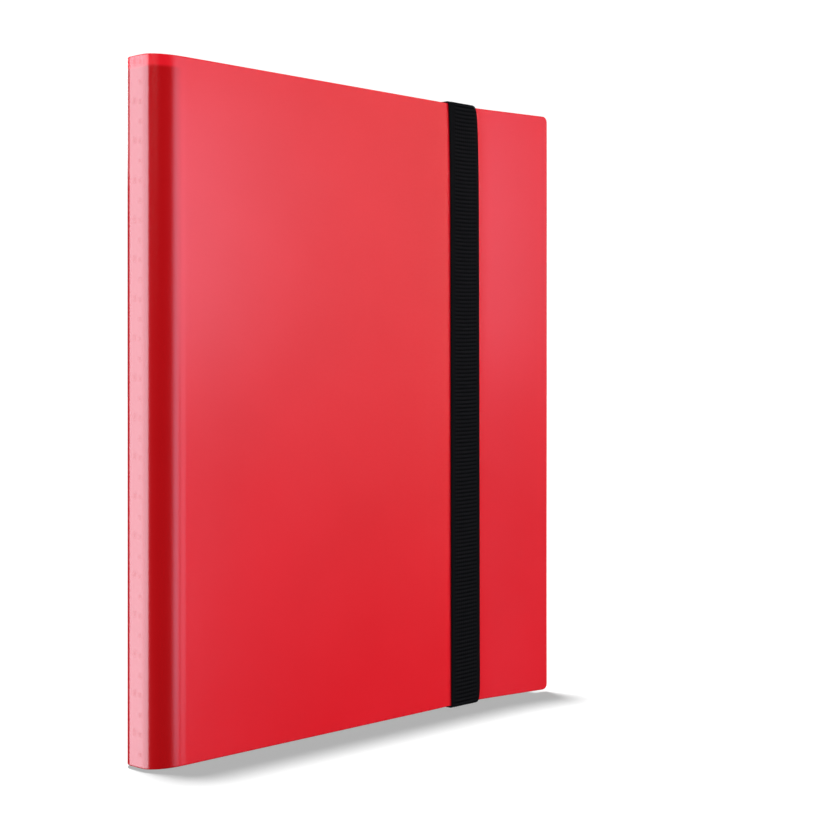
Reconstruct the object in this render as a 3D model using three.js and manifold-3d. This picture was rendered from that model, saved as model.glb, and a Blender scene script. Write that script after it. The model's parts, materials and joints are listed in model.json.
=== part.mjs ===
// A nine-pocket trading card binder, standing closed on its bottom edge.
//
// The red polypropylene cover is a front panel and a back panel, each hinged by a crease to a
// round-cornered spine. A binding block sits inside the spine and carries twenty pocket pages,
// and a wide elastic strap, anchored through two slots in the back panel, loops over the closed
// binder. Millimetres: +Z up, +X from the spine to the fore edge, -Y out of the front panel,
// and the origin on the floor under the middle of the binder.

import * as THREE from "three";
import { mergeVertices } from "three/addons/utils/BufferGeometryUtils.js";
import Module from "manifold-3d";

// ---- Driving dimensions ----

const COVER_HEIGHT = 310;
const COVER_WIDTH = 260; // spine face to fore edge
const THICKNESS = 26; // front face to back face at the spine, closed
const SHEET = 1.2; // cover sheet
const SPINE_ROUND = { x: 14.5, y: 9 }; // outside half-axes of the spine's two elliptical corners
const CREASE_SETBACK = 0.5; // flat sheet between a spine corner and its crease
const CREASE_GAP = 0.3; // between the spine and a panel, across the crease
const FORE_CORNER = 3; // radius of the panels' free corners
const FLARE = 8; // how far the fanned pages push each panel's fore edge out, past the strap
const FLARE_LENGTH = 46; // fore edge to the line where a panel starts to flare

const STRAP_WIDTH = 24;
const STRAP_SHEET = 1.2;
const STRAP_TO_FORE_EDGE = 60.4; // strap centre line to the panels' fore edge
const STRAP_CLEARANCE = 0.2; // between the strap and the panels it lies on
const STRAP_SLOT_INSET = 20; // slot centre line to the panel's top or bottom edge
const STRAP_TAIL = 24; // strap end inside the back panel
const STRAP_FOLD = 0.55; // inside radius where the strap turns a panel's edge
const SLOT_FOLD = 0.4; // inside radius where it turns through a slot
const SLOT_WIDTH = 27;
const SLOT_HEIGHT = 2.4;
const PATCH = { width: 28, height: 15, sheet: 0.6, gap: 0.15 };

const PAGE_COUNT = 20;
const PAGE_PITCH = 1.04; // at the spine
const PAGE_HEIGHT = 299;
const PAGE_SETBACK = 7.5; // page edge to the panels' fore edge
const CORE_SHEET = 0.16;
const FILM_SHEET = 0.1;
const POCKET_DEPTH = 0.3; // free space between the core and a film
const FIRST_PAGE_GAP = 0.3; // front panel to the first page
const SEAM = 4; // weld between two pockets of a column
const OUTER_WELD = 3; // weld that closes a film strip on its fore-edge side
const COLUMN_PITCH = 72.5;
const FILM_WIDTH = 70;
const COLUMNS = 3;
const ROWS = 3;

const PAGE_DOME = 0.9; // each page's hinge stands this much further out than its neighbour's
const PAGE_HINGE_OFFSET = 2; // first page's hinge line past the crease
const HINGE_GAP = 0.35; // page hinge line to the stub on one side and the page on the other
const STUB_SHEET = 0.4;
const BLOCK_GAP = 0.3; // binding block to the spine's inside
const BLOCK_DEPTH = 11; // solid part of the block, from the spine towards the pages

const CARD = { width: 63, height: 88, sheet: 0.2 };
const CARD_PAGES = [10, 11]; // the two pages of the middle opening

const ARC_STEPS = 10; // chords in a quarter turn
const FIT = 0.01; // keeps two parts of one sheet joined through shared material

const COLORS = {
  cover: { color: 0xdc2433, roughness: 0.42, metalness: 0 },
  strap: { color: 0x111112, roughness: 0.9, metalness: 0 },
  black: { color: 0x18181a, roughness: 0.5, metalness: 0 },
  page: { color: 0x1c1c1f, roughness: 0.35, metalness: 0 },
  card: { color: 0xb9a27a, roughness: 0.5, metalness: 0 },
};

// ---- Places worked out from them ----

const FLOOR_CLEARANCE = STRAP_SHEET + STRAP_CLEARANCE; // the strap passes under the panels
const BOTTOM = FLOOR_CLEARANCE;
const TOP = BOTTOM + COVER_HEIGHT;
const MIDDLE = (BOTTOM + TOP) / 2;
const SPINE_X = -COVER_WIDTH / 2;
const FORE_X = COVER_WIDTH / 2;
const FRONT_Y = -THICKNESS / 2;
const BACK_Y = THICKNESS / 2;
const CREASE_X = SPINE_X + SPINE_ROUND.x + CREASE_SETBACK;
const STRAP_X = FORE_X - STRAP_TO_FORE_EDGE;
const FLARE_X = FORE_X - FLARE_LENGTH;
const PAGE_X = FORE_X - PAGE_SETBACK; // fore edge of every page
const PAGE_BOTTOM = MIDDLE - PAGE_HEIGHT / 2;
const FILM_OFFSET = CORE_SHEET / 2 + POCKET_DEPTH; // core's middle to a film's inside
const PAGE_SHEET = 2 * (FILM_OFFSET + FILM_SHEET);
const FIRST_PAGE_Y = FRONT_Y + SHEET + FIRST_PAGE_GAP + PAGE_SHEET / 2;
const POCKET_HEIGHT = (PAGE_HEIGHT - (ROWS + 1) * SEAM) / ROWS;
const COLUMNS_X = PAGE_X - OUTER_WELD / 2 - COLUMNS * COLUMN_PITCH; // where the first film starts

const pageY = (number) => FIRST_PAGE_Y + (number - 1) * PAGE_PITCH;
const pageRise = (number) => Math.min(number - 1, PAGE_COUNT - number) * PAGE_DOME;
const pageFlare = (number) => -1 + (2 * (number - 1)) / (PAGE_COUNT - 1); // -1 front, 1 back
const pageHingeX = (number) => CREASE_X + PAGE_HINGE_OFFSET + pageRise(number);
const pocketBottom = (row) => PAGE_BOTTOM + SEAM + row * (POCKET_HEIGHT + SEAM);
const filmLeft = (column) => COLUMNS_X + column * COLUMN_PITCH;
const twoDigits = (number) => String(number).padStart(2, "0");

// ---- Solids ----

const wasm = await Module();
wasm.setup();

function toSolid(geometry) {
  const bare = geometry.clone();
  bare.deleteAttribute("normal");
  bare.deleteAttribute("uv");
  const merged = mergeVertices(bare, 1e-4);
  const data = {
    numProp: 3,
    vertProperties: merged.attributes.position.array,
    triVerts: new Uint32Array(merged.index.array),
  };
  return new wasm.Manifold(new wasm.Mesh(data));
}

function toGeometry(solid) {
  const mesh = solid.getMesh();
  const geometry = new THREE.BufferGeometry();
  geometry.setAttribute("position", new THREE.BufferAttribute(mesh.vertProperties, mesh.numProp));
  geometry.setIndex(new THREE.BufferAttribute(mesh.triVerts, 1));
  const flat = geometry.toNonIndexed();
  flat.computeVertexNormals();
  return flat;
}

// Leans the part of a solid beyond the flare line out, by this share of a panel's own flare.
function flared(solid, share) {
  const slope = (share * FLARE) / FLARE_LENGTH;
  const inner = solid.trimByPlane([-1, 0, 0], -FLARE_X);
  const outer = solid.trimByPlane([1, 0, 0], FLARE_X);
  const lean = [1, slope, 0, 0, 0, 1, 0, 0, 0, 0, 1, 0, 0, -slope * FLARE_X, 0, 1];
  return toGeometry(inner.add(outer.transform(lean)));
}

// An upright box between two corners.
function box(x0, y0, z0, x1, y1, z1) {
  const geometry = new THREE.BoxGeometry(x1 - x0, y1 - y0, z1 - z0);
  return geometry.translate((x0 + x1) / 2, (y0 + y1) / 2, (z0 + z1) / 2);
}

// A shape drawn in X and Y, raised along Z from z0 to z1.
function raised(shape, z0, z1) {
  const geometry = new THREE.ExtrudeGeometry(shape, {
    depth: z1 - z0,
    bevelEnabled: false,
    curveSegments: ARC_STEPS,
  });
  return geometry.translate(0, 0, z0);
}

function addMesh(parent, name, geometry, look) {
  const mesh = new THREE.Mesh(geometry, new THREE.MeshStandardMaterial(look));
  mesh.name = name;
  parent.add(mesh);
  return mesh;
}

// ---- Cover ----

// A panel's outline in X and Z, with rounded corners at the fore edge.
function panelShape() {
  const left = CREASE_X + CREASE_GAP / 2;
  const shape = new THREE.Shape();
  shape.moveTo(left, BOTTOM);
  shape.lineTo(FORE_X - FORE_CORNER, BOTTOM);
  shape.absarc(FORE_X - FORE_CORNER, BOTTOM + FORE_CORNER, FORE_CORNER, -Math.PI / 2, 0, false);
  shape.lineTo(FORE_X, TOP - FORE_CORNER);
  shape.absarc(FORE_X - FORE_CORNER, TOP - FORE_CORNER, FORE_CORNER, 0, Math.PI / 2, false);
  shape.lineTo(left, TOP);
  shape.closePath();
  return shape;
}

function slotPath(centreZ) {
  const hole = new THREE.Path();
  hole.moveTo(STRAP_X - SLOT_WIDTH / 2, centreZ - SLOT_HEIGHT / 2);
  hole.lineTo(STRAP_X - SLOT_WIDTH / 2, centreZ + SLOT_HEIGHT / 2);
  hole.lineTo(STRAP_X + SLOT_WIDTH / 2, centreZ + SLOT_HEIGHT / 2);
  hole.lineTo(STRAP_X + SLOT_WIDTH / 2, centreZ - SLOT_HEIGHT / 2);
  hole.closePath();
  return hole;
}

// The panel stands upright, so its outline's second axis turns from Y to Z.
function panelGeometry(outerFaceY, inward, holes) {
  const shape = panelShape();
  shape.holes.push(...holes);
  const geometry = new THREE.ExtrudeGeometry(shape, {
    depth: SHEET,
    bevelEnabled: false,
    curveSegments: ARC_STEPS,
  });
  geometry.rotateX(Math.PI / 2); // the sheet now lies between y = -SHEET and y = 0
  geometry.translate(0, inward > 0 ? outerFaceY + SHEET : outerFaceY, 0);
  return flared(toSolid(geometry), -inward);
}

// Adds the spine's rounded outline, a given depth inside its outer face, from back to front.
function addSpineRound(shape, depth, reversed) {
  const centreX = SPINE_X + SPINE_ROUND.x;
  const frontCentre = FRONT_Y + SPINE_ROUND.y;
  const backCentre = BACK_Y - SPINE_ROUND.y;
  const a = SPINE_ROUND.x - depth;
  const b = SPINE_ROUND.y - depth;
  if (reversed) {
    shape.absellipse(centreX, frontCentre, a, b, 1.5 * Math.PI, Math.PI, true, 0);
    shape.absellipse(centreX, backCentre, a, b, Math.PI, Math.PI / 2, true, 0);
  } else {
    shape.absellipse(centreX, backCentre, a, b, Math.PI / 2, Math.PI, false, 0);
    shape.absellipse(centreX, frontCentre, a, b, Math.PI, 1.5 * Math.PI, false, 0);
  }
}

function spineShape() {
  const end = CREASE_X - CREASE_GAP / 2;
  const shape = new THREE.Shape();
  shape.moveTo(end, FRONT_Y);
  shape.lineTo(end, FRONT_Y + SHEET);
  addSpineRound(shape, SHEET, true);
  shape.lineTo(end, BACK_Y - SHEET);
  shape.lineTo(end, BACK_Y);
  addSpineRound(shape, 0, false);
  shape.closePath();
  return shape;
}

function addCover(parent) {
  const slots = [BOTTOM + STRAP_SLOT_INSET, TOP - STRAP_SLOT_INSET].map(slotPath);
  addMesh(parent, "front_cover", panelGeometry(FRONT_Y, 1, []), COLORS.cover);
  addMesh(parent, "back_cover", panelGeometry(BACK_Y, -1, slots), COLORS.cover);
  addMesh(parent, "spine", raised(spineShape(), BOTTOM, TOP), COLORS.cover);
}

// ---- Elastic strap ----

// Half of the strap's route in Y and Z, from the middle of its front run, over the top edge,
// down the back and in through the upper slot. Each corner holds its own bend radius.
function strapRoute() {
  const skin = STRAP_CLEARANCE + STRAP_SHEET / 2;
  const slotZ = TOP - STRAP_SLOT_INSET;
  const inside = BACK_Y - SHEET - STRAP_CLEARANCE - STRAP_SHEET / 2;
  const bend = STRAP_FOLD + STRAP_SHEET / 2;
  const slotBend = SLOT_FOLD + STRAP_SHEET / 2;
  return [
    { y: FRONT_Y - skin, z: MIDDLE, bend: 0 },
    { y: FRONT_Y - skin, z: TOP + skin, bend },
    { y: BACK_Y + skin, z: TOP + skin, bend },
    { y: BACK_Y + skin, z: slotZ, bend: slotBend },
    { y: inside, z: slotZ, bend: slotBend },
    { y: inside, z: slotZ - STRAP_TAIL, bend: 0 },
  ];
}

// A mitred, rounded line through the corners, moved sideways by offset (left of travel is +).
function offsetLine(corners, offset) {
  const line = [];
  const direction = (a, b) => {
    const length = Math.hypot(b.y - a.y, b.z - a.z);
    return { y: (b.y - a.y) / length, z: (b.z - a.z) / length };
  };
  corners.forEach((corner, index) => {
    const before = index > 0 ? direction(corners[index - 1], corner) : null;
    const after = index < corners.length - 1 ? direction(corner, corners[index + 1]) : null;
    if (!before || !after) {
      const along = before || after;
      line.push([corner.y - along.z * offset, corner.z + along.y * offset]);
      return;
    }
    // Every corner is square: its arc's centre lies one bend radius in from both sides.
    const turn = Math.sign(before.y * after.z - before.z * after.y);
    const radius = corner.bend - turn * offset;
    const centreY = corner.y + corner.bend * (after.y - before.y);
    const centreZ = corner.z + corner.bend * (after.z - before.z);
    const steps = Math.max(2, Math.round(ARC_STEPS / 2));
    for (let step = 0; step <= steps; step += 1) {
      const angle = (step / steps) * (Math.PI / 2);
      const out = radius * Math.cos(angle);
      const on = radius * Math.sin(angle);
      line.push([
        centreY - after.y * out + before.y * on,
        centreZ - after.z * out + before.z * on,
      ]);
    }
  });
  return line;
}

function addStrap(parent) {
  const upper = strapRoute();
  const lower = upper.map(({ y, z, bend }) => ({ y, z: 2 * MIDDLE - z, bend })).reverse();
  const corners = [...lower.slice(0, -1), ...upper.slice(1)];
  const outer = offsetLine(corners, STRAP_SHEET / 2);
  const inner = offsetLine(corners, -STRAP_SHEET / 2);
  const outline = [...outer, ...inner.reverse()].map(([y, z]) => new THREE.Vector2(y, z));
  const geometry = new THREE.ExtrudeGeometry(new THREE.Shape(outline), {
    depth: STRAP_WIDTH,
    bevelEnabled: false,
  });
  // The outline's axes turn from X and Y to Y and Z, and the strap's width runs along X.
  const turned = new THREE.Matrix4().makeBasis(
    new THREE.Vector3(0, 1, 0),
    new THREE.Vector3(0, 0, 1),
    new THREE.Vector3(1, 0, 0),
  );
  geometry.applyMatrix4(turned).translate(STRAP_X - STRAP_WIDTH / 2, 0, 0);
  addMesh(parent, "elastic_strap", geometry, COLORS.strap);
}

// Welded patches that hold the strap's two ends against the inside of the back panel.
function addPatches(parent) {
  const outside = BACK_Y - SHEET - STRAP_CLEARANCE - STRAP_SHEET - PATCH.gap;
  const reach = STRAP_SLOT_INSET + STRAP_TAIL - PATCH.height / 2 + 2;
  for (const [name, centreZ] of [
    ["upper_strap_patch", TOP - reach],
    ["lower_strap_patch", BOTTOM + reach],
  ]) {
    const geometry = box(
      STRAP_X - PATCH.width / 2,
      outside - PATCH.sheet,
      centreZ - PATCH.height / 2,
      STRAP_X + PATCH.width / 2,
      outside,
      centreZ + PATCH.height / 2,
    );
    addMesh(parent, name, geometry, COLORS.black);
  }
}

// ---- Binding and pages ----

// The block follows the inside of the spine, and each page hangs on its own stub.
function addBindingBlock(parent) {
  const wall = SHEET + BLOCK_GAP;
  const low = PAGE_BOTTOM;
  const high = PAGE_BOTTOM + PAGE_HEIGHT;
  const room = new THREE.Shape();
  room.moveTo(0, FRONT_Y + wall);
  room.lineTo(0, BACK_Y - wall);
  addSpineRound(room, wall, false);
  room.closePath();
  const blockFace = SPINE_X + wall + BLOCK_DEPTH;
  const frontY = pageY(1) - STUB_SHEET;
  const backY = pageY(PAGE_COUNT) + STUB_SHEET;
  let block = toSolid(box(SPINE_X, frontY, low - 1, blockFace, backY, high + 1));
  for (let number = 1; number <= PAGE_COUNT; number += 1) {
    const y = pageY(number);
    const tip = pageHingeX(number) - HINGE_GAP;
    const half = STUB_SHEET / 2;
    block = block.add(toSolid(box(blockFace - 1, y - half, low - 1, tip, y + half, high + 1)));
  }
  const fitted = block.intersect(toSolid(raised(room, low, high)));
  addMesh(parent, "binding_block", toGeometry(fitted), COLORS.black);
}

// One side of a page: three film strips over the core, each welded at its fore-edge side and
// across four seams, and open towards the spine.
function pocketSide(page, y, side) {
  let made = page;
  const near = y + side * (CORE_SHEET / 2 - FIT);
  const film = y + side * FILM_OFFSET;
  const far = film + side * FILM_SHEET;
  const [stripLow, stripHigh] = [Math.min(near, far), Math.max(near, far)];
  const core = y + (side * CORE_SHEET) / 2;
  const [pocketLow, pocketHigh] = [Math.min(core, film), Math.max(core, film)];
  for (let column = 0; column < COLUMNS; column += 1) {
    const left = filmLeft(column);
    const right = left + FILM_WIDTH;
    const z1 = PAGE_BOTTOM + PAGE_HEIGHT;
    made = made.add(toSolid(box(left, stripLow, PAGE_BOTTOM, right, stripHigh, z1)));
    for (let row = 0; row < ROWS; row += 1) {
      const low = pocketBottom(row);
      const end = right - OUTER_WELD;
      const pocket = box(left - 1, pocketLow, low, end, pocketHigh, low + POCKET_HEIGHT);
      made = made.subtract(toSolid(pocket));
    }
  }
  return made;
}

function addPages(parent) {
  for (let number = 1; number <= PAGE_COUNT; number += 1) {
    const y = pageY(number);
    const core = box(
      pageHingeX(number) + HINGE_GAP,
      y - CORE_SHEET / 2,
      PAGE_BOTTOM,
      PAGE_X,
      y + CORE_SHEET / 2,
      PAGE_BOTTOM + PAGE_HEIGHT,
    );
    const page = pocketSide(pocketSide(toSolid(core), y, -1), y, 1);
    const name = `page_${twoDigits(number)}`;
    addMesh(parent, name, flared(page, pageFlare(number)), COLORS.page);
  }
}

// Plain sample cards in the pockets of the middle opening, on the two sides that face each other.
function addCards(parent) {
  for (const number of CARD_PAGES) {
    const side = number === CARD_PAGES[0] ? 1 : -1;
    const y = pageY(number) + side * (CORE_SHEET / 2 + POCKET_DEPTH / 2);
    for (let column = 0; column < COLUMNS; column += 1) {
      for (let row = 0; row < ROWS; row += 1) {
        const x = filmLeft(column) + (FILM_WIDTH - OUTER_WELD) / 2;
        const z = pocketBottom(row) + POCKET_HEIGHT / 2;
        const card = box(
          x - CARD.width / 2,
          y - CARD.sheet / 2,
          z - CARD.height / 2,
          x + CARD.width / 2,
          y + CARD.sheet / 2,
          z + CARD.height / 2,
        );
        const name = `card_page${number}_row${ROWS - row}_column${column + 1}`;
        addMesh(parent, name, flared(toSolid(card), pageFlare(number)), COLORS.card);
      }
    }
  }
}

const binder = new THREE.Group();
addCover(binder);
addStrap(binder);
addPatches(binder);
addBindingBlock(binder);
addPages(binder);
addCards(binder);

export default binder;
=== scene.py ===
import json
import math

import bmesh
import bpy
import numpy as np
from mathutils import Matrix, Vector


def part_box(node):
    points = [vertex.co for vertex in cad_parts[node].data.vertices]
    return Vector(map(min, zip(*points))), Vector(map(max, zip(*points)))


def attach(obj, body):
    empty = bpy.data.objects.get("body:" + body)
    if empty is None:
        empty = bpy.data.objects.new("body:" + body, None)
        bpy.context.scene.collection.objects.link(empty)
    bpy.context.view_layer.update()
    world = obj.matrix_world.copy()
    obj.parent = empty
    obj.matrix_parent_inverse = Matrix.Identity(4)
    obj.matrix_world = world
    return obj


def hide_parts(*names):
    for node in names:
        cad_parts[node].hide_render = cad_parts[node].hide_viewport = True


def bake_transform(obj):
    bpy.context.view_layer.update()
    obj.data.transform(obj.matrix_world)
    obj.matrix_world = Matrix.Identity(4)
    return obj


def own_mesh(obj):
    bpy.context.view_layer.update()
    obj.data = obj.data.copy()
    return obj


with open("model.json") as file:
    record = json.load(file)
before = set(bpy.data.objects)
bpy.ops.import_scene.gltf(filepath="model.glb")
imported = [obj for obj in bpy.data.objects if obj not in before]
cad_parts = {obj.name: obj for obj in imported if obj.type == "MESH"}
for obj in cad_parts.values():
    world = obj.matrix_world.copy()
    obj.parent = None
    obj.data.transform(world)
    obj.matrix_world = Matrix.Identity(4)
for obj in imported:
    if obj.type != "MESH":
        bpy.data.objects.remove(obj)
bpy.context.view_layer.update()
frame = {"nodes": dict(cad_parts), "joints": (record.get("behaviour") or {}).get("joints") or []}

MM = 0.001

# ---------------------------------------------------------------- places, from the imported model

hinges = {joint["name"]: joint for joint in frame["joints"]}
front_low, front_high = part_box("front_cover")
spine_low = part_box("spine")[0]
strap_low, strap_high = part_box("elastic_strap")

BOTTOM, TOP = front_low[2], front_high[2]
MIDDLE = (BOTTOM + TOP) / 2
SPINE_X, FORE_X = spine_low[0], front_high[0]
CREASE_X = hinges["front_cover_hinge"]["pos_m"][0]
FRONT_Y = hinges["front_cover_hinge"]["pos_m"][1]
BACK_Y = hinges["back_cover_hinge"]["pos_m"][1]
STRAP_X = (strap_low[0] + strap_high[0]) / 2
STRAP_HALF = (strap_high[0] - strap_low[0]) / 2
FLARE = FRONT_Y - front_low[1]
FLARE_X = FORE_X - 46 * MM  # where the panels start to lean out
FLARE_BEND = 7 * MM  # how softly they start
ROUND_X, ROUND_Y = 14.5 * MM, 9 * MM  # half-axes of the spine's two corners
SHEET = 1.1 * MM  # cover sheet
CORNER = 3 * MM  # corners of the cover, the pages and the cards

BAND_X = STRAP_X + 1.9 * MM  # middle of the woven band
BAND_HALF = STRAP_HALF - 1.3 * MM
BAND_RIM = 0.42 * MM  # rounded rim of the band
SELVAGE = 3 * MM  # its plain edge
FOLD_RISE = 0.75 * MM  # from a panel's edge to the middle of the band that folds over it
STRAP_THICK = 0.95 * MM
RIB, CORD = 2.0 * MM, 1.5 * MM  # pitch of the ribs across the band and the cords along it

PAGES = sorted(name for name in frame["nodes"] if name.startswith("page_"))
page_low, page_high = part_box(PAGES[0])
PAGE_LOW, PAGE_HIGH, PAGE_X = page_low[2], page_high[2], page_high[0]
ROWS, COLUMNS = 3, 3
SEAM, OUTER_WELD = 4 * MM, 3 * MM
COLUMN_PITCH, FILM_WIDTH = 72.5 * MM, 70 * MM
COLUMNS_X = PAGE_X - OUTER_WELD / 2 - COLUMNS * COLUMN_PITCH
POCKET_HEIGHT = (PAGE_HIGH - PAGE_LOW - (ROWS + 1) * SEAM) / ROWS
CORE = 0.16 * MM  # a page's black sheet
FILM = 0.09 * MM
FILM_IN, FILM_OUT = 0.19 * MM, 0.46 * MM  # a film's outer face off the core's middle, seam and pocket


def flare(x, share):
    """How far a sheet leans out at x, past the strap: share is -1 at the front, 1 at the back."""
    past = x - FLARE_X
    return share * FLARE / (FORE_X - FLARE_X) * (past + math.hypot(past, FLARE_BEND)) / 2


def eased(share):
    """A share held between 0 and 1, with a soft start and a soft end."""
    share = min(1.0, max(0.0, share))
    return share * share * (3 - 2 * share)


def strap_dip(x):
    """How far the strap presses the front cover in at x."""
    depth, reach = 0.6 * MM, 15 * MM
    return depth * math.exp(-(((x - STRAP_X) / reach) ** 2))


# ---------------------------------------------------------------- materials


class Finish:
    """A material being made, with short calls for the nodes that it needs."""

    def __init__(self, name):
        self.material = bpy.data.materials.new(name)
        self.material.use_nodes = True
        self.nodes = self.material.node_tree.nodes
        self.links = self.material.node_tree.links
        self.shader = self.nodes["Principled BSDF"]
        self.at = self.nodes.new("ShaderNodeTexCoord").outputs["Object"]

    def feed(self, value, socket):
        """Links a node's output to a socket, or sets the socket to a plain value."""
        if isinstance(value, bpy.types.NodeSocket):
            self.links.new(value, socket)
        else:
            socket.default_value = value

    def set(self, socket_name, value):
        self.feed(value, self.shader.inputs[socket_name])

    def axes(self):
        """The place's X, Y and Z, in metres."""
        node = self.nodes.new("ShaderNodeSeparateXYZ")
        self.feed(self.at, node.inputs[0])
        return node.outputs

    def math(self, operation, *values):
        node = self.nodes.new("ShaderNodeMath")
        node.operation = operation
        for value, socket in zip(values, node.inputs):
            self.feed(value, socket)
        return node.outputs[0]

    def total(self, first, second):
        return self.math("ADD", first, second)

    def less(self, first, second):
        return self.math("SUBTRACT", first, second)

    def product(self, first, second):
        return self.math("MULTIPLY", first, second)

    def ripple(self, value, pitch):
        """1 at each multiple of the pitch and 0 halfway between."""
        return self.math("ABSOLUTE", self.math("COSINE", self.product(value, math.pi / pitch)))

    def noise(self, scale, detail=2.0, rough=0.5, distortion=0.0):
        node = self.nodes.new("ShaderNodeTexNoise")
        node.inputs["Scale"].default_value = scale
        node.inputs["Detail"].default_value = detail
        node.inputs["Roughness"].default_value = rough
        node.inputs["Distortion"].default_value = distortion
        self.feed(self.at, node.inputs["Vector"])
        return node.outputs["Fac"]

    def ramp(self, value, stops):
        """The colour at a value, from (position, colour) stops in order."""
        node = self.nodes.new("ShaderNodeValToRGB")
        first, last = node.color_ramp.elements
        for element, (position, color) in ((first, stops[0]), (last, stops[-1])):
            element.position = position
            element.color = (*color, 1)
        for position, color in stops[1:-1]:
            node.color_ramp.elements.new(position).color = (*color, 1)
        self.feed(value, node.inputs["Fac"])
        return node.outputs["Color"]

    def span(self, value, low, high):
        """A value from 0 to 1, spread from low to high."""
        node = self.nodes.new("ShaderNodeMapRange")
        node.inputs["To Min"].default_value = low
        node.inputs["To Max"].default_value = high
        self.feed(value, node.inputs["Value"])
        return node.outputs["Result"]

    def fade(self, value, start, end):
        """1 before start and 0 after end, eased between them."""
        node = self.nodes.new("ShaderNodeMapRange")
        node.interpolation_type = "SMOOTHSTEP"
        node.inputs["From Min"].default_value = start
        node.inputs["From Max"].default_value = end
        node.inputs["To Min"].default_value = 1
        node.inputs["To Max"].default_value = 0
        self.feed(value, node.inputs["Value"])
        return node.outputs["Result"]

    def mix(self, share, color_a, color_b):
        node = self.nodes.new("ShaderNodeMix")
        node.data_type = "RGBA"
        share_in, color_a_in, color_b_in = node.inputs[0], node.inputs[6], node.inputs[7]
        self.feed(share, share_in)
        self.feed(color_a, color_a_in)
        self.feed(color_b, color_b_in)
        return node.outputs[2]

    def bump(self, height, distance, strength, over=None):
        """Gives the surface a relief, over another one if there is one."""
        node = self.nodes.new("ShaderNodeBump")
        node.inputs["Distance"].default_value = distance
        node.inputs["Strength"].default_value = strength
        self.feed(height, node.inputs["Height"])
        if over is not None:
            self.feed(over, node.inputs["Normal"])
        self.set("Normal", node.outputs["Normal"])
        return node.outputs["Normal"]


# Each row of weld marks on the spine's flat: its Y, its pitch, its phase, and how short its marks are.
WELD_ROWS = ((0.9 * MM, 17.2 * MM, 0.3, 0.72), (-3.1 * MM, 8.6 * MM, 1.1, 0.3))
WELD_REACH = 2.2 * MM


def weld_marks(finish, x, y, z):
    """Near 1 on the small marks along the flat of the spine, and 0 elsewhere."""
    marks = 0.0
    for row_y, pitch, phase, short in WELD_ROWS:
        offset = finish.math("ABSOLUTE", finish.less(y, row_y))
        wave = finish.math("COSINE", finish.total(finish.product(z, 2 * math.pi / pitch), phase))
        long_way = finish.less(1.0, finish.fade(wave, short, 1.0))
        marks = finish.total(marks, finish.product(finish.fade(offset, 0.0, WELD_REACH), long_way))
    on_flat = finish.fade(x, SPINE_X + 0.4 * MM, SPINE_X + 1.0 * MM)
    return finish.product(marks, on_flat)


def red_sheet():
    """Translucent red polypropylene. Its colour carries painted shade: darker over the spine where the
    black binding block backs it, up to the block's top, so the lighter red above the block stands as
    painted light.
    """
    finish = Finish("red_polypropylene")
    x, y, z = finish.axes()
    cloud = finish.noise(14.0)
    clear = finish.ramp(cloud, [(0.3, (0.735, 0.0062, 0.0140)), (0.7, (0.775, 0.0078, 0.0175))])
    # Painted shade: a darker copy of the red, for the spine over the black block.
    backed_shade = finish.ramp(cloud, [(0.3, (0.424, 0.0022, 0.0040)), (0.7, (0.458, 0.0028, 0.0050))])
    # Where the painted shade goes: the spine, below the top of the block; the lighter red above it is
    # painted light.
    over_block_shade = finish.product(
        finish.fade(x, SPINE_X + 8.2 * MM, SPINE_X + 16.2 * MM),
        finish.fade(z, PAGE_HIGH - 0.5 * MM, PAGE_HIGH + 1.3 * MM),
    )
    finish.set("Base Color", finish.mix(over_block_shade, clear, backed_shade))

    marks = weld_marks(finish, x, y, z)
    gloss = finish.total(finish.span(finish.noise(45.0), 0.24, 0.28), finish.product(marks, 0.10))
    finish.set("Roughness", finish.less(gloss, finish.product(over_block_shade, 0.05)))
    finish.set("IOR", 1.49)
    finish.set("Specular IOR Level", 1.0)
    grain = finish.noise(800.0, 2.0, 0.6)
    height = finish.less(finish.product(grain, 0.2), finish.product(marks, 0.8))
    coarse = finish.bump(height, 0.1 * MM, 0.4)
    finish.bump(finish.noise(2600.0), 0.02 * MM, 0.3, over=coarse)
    return finish.material


def black_elastic():
    """Woven elastic: ribs across the band between plain edges. Its colour carries painted shade, darker in
    the gaps between ribs and lighter on their crests, with a random fleck.
    """
    finish = Finish("black_woven_elastic")
    x, y, z = finish.axes()
    # Y plus Z runs along the band on all of its sides.
    rib = finish.ripple(finish.total(y, z), RIB)
    cord = finish.span(finish.ripple(x, CORD), 0.85, 1.0)
    off_middle = finish.math("ABSOLUTE", finish.less(x, BAND_X))
    inside = finish.fade(off_middle, BAND_HALF - 3.1 * MM, BAND_HALF - 1.7 * MM)
    ribs = finish.product(finish.product(rib, cord), inside)
    edges = finish.product(finish.less(1.0, inside), 0.55)
    fleck = finish.span(finish.noise(1100.0, 3.0), 0.7, 1.3)
    weave_and_shade = finish.product(finish.total(ribs, edges), fleck)
    # Painted shade: the colour follows the weave's relief, darkest in its gaps.
    finish.set("Base Color", finish.ramp(
        weave_and_shade, [(0.15, (0.0002, 0.0002, 0.0003)), (0.95, (0.0064, 0.0064, 0.0070))]))
    finish.set("Roughness", 0.62)
    finish.set("Specular IOR Level", 0.12)
    finish.bump(weave_and_shade, 0.12 * MM, 0.6)
    return finish.material


def black_sheet(name, low, high, roughness):
    """Black plastic with a slight cloud in its colour and a fine grain."""
    finish = Finish(name)
    finish.set("Base Color", finish.ramp(finish.noise(60.0, 3.0), [(0.3, low), (0.7, high)]))
    grain = finish.noise(1400.0)
    finish.set("Roughness", finish.span(grain, roughness - 0.06, roughness + 0.06))
    finish.bump(grain, 0.05 * MM, 0.3)
    return finish.material


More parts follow.
